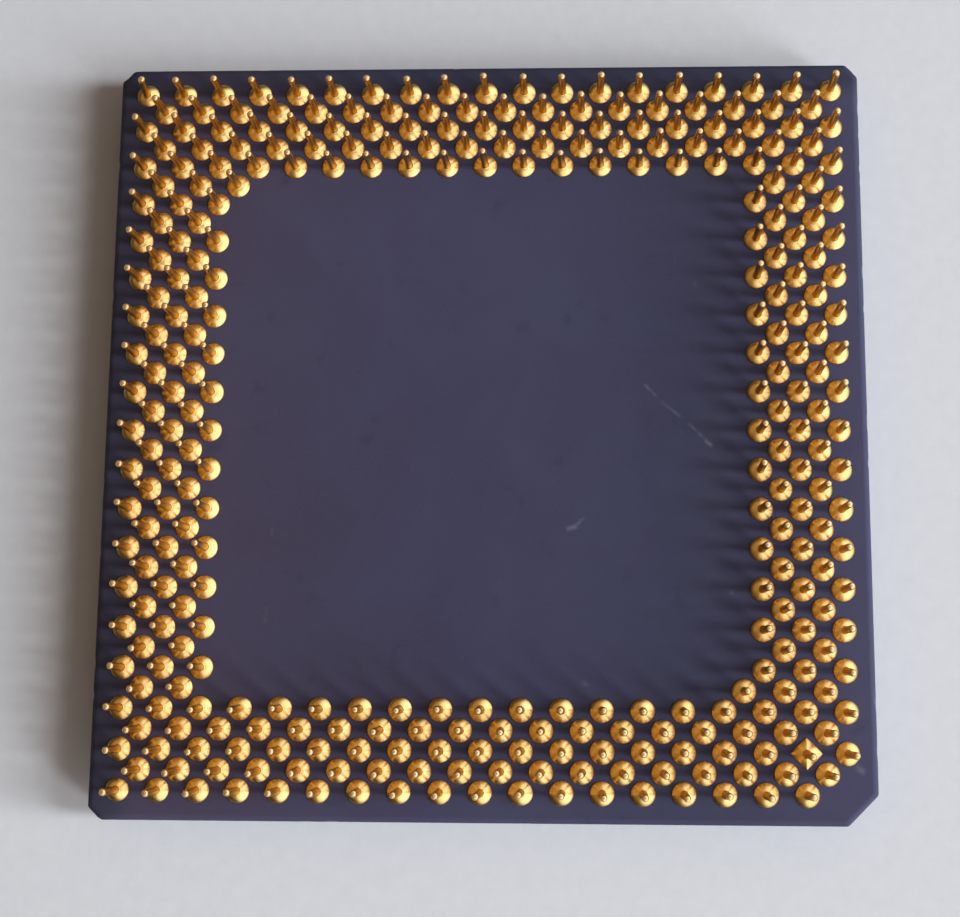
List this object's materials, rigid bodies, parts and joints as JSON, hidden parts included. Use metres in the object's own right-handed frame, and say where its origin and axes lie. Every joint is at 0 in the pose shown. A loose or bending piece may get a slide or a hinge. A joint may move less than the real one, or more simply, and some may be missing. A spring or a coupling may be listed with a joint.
{
  "type": "cpu processor",
  "caption": "Square ceramic pin-grid processor with a chamfered index corner, gold pins on one side and a flanged metal lid on the other.",
  "frame": {"origin": "centre of the lid's flat outer face, the lowest plane of the part", "axes": "+Z from the lid towards the pin tips; the index corner with the wide chamfer is at +X, -Y; the sides of the ceramic are parallel to X and Y"},
  "size_m": [0.0494, 0.0494, 0.0065],
  "materials": {
    "ceramic": "matte fired alumina, dark violet grey",
    "gold_plate": "satin gold plate",
    "nickel_plate": "satin nickel plate",
    "tungsten_film": "fired metal film",
    "silicon": "ground silicon",
    "solder": "solder",
    "underfill": "cured black epoxy",
    "compound": "white thermal compound",
    "adhesive": "black silicone adhesive",
    "capacitor": "brown chip capacitor"
  },
  "bodies": {
    "root": {"chip_capacitor_1": "capacitor", "chip_capacitor_2": "capacitor", "chip_capacitor_3": "capacitor", "chip_capacitor_4": "capacitor", "chip_capacitor_5": "capacitor", "chip_capacitor_6": "capacitor", "chip_capacitor_7": "capacitor", "chip_capacitor_8": "capacitor", "core_power_plane": "tungsten_film", "corner_pin_back_left": "gold_plate", "corner_pin_front_right": "gold_plate", "die_side_ceramic": "ceramic", "ground_plane": "tungsten_film", "index_end_pin": "gold_plate", "index_mark": "gold_plate", "index_pin": "gold_plate", "io_power_plane": "tungsten_film", "lid": "nickel_plate", "lid_adhesive": "adhesive", "pin_column_left_1": "gold_plate", "pin_column_left_2": "gold_plate", "pin_column_left_3": "gold_plate", "pin_column_left_4": "gold_plate", "pin_column_left_5": "gold_plate", "pin_column_right_1": "gold_plate", "pin_column_right_2": "gold_plate", "pin_column_right_3": "gold_plate", "pin_column_right_4": "gold_plate", "pin_column_right_5": "gold_plate", "pin_row_back_1": "gold_plate", "pin_row_back_2": "gold_plate", "pin_row_back_3": "gold_plate", "pin_row_back_4": "gold_plate", "pin_row_back_5": "gold_plate", "pin_row_front_1": "gold_plate", "pin_row_front_2": "gold_plate", "pin_row_front_3": "gold_plate", "pin_row_front_4": "gold_plate", "pin_row_front_5": "gold_plate", "pin_side_ceramic": "ceramic", "signal_ceramic": "ceramic", "silicon_die": "silicon", "solder_bump_field": "solder", "thermal_compound": "compound", "underfill": "underfill"}
  },
  "joints": []
}
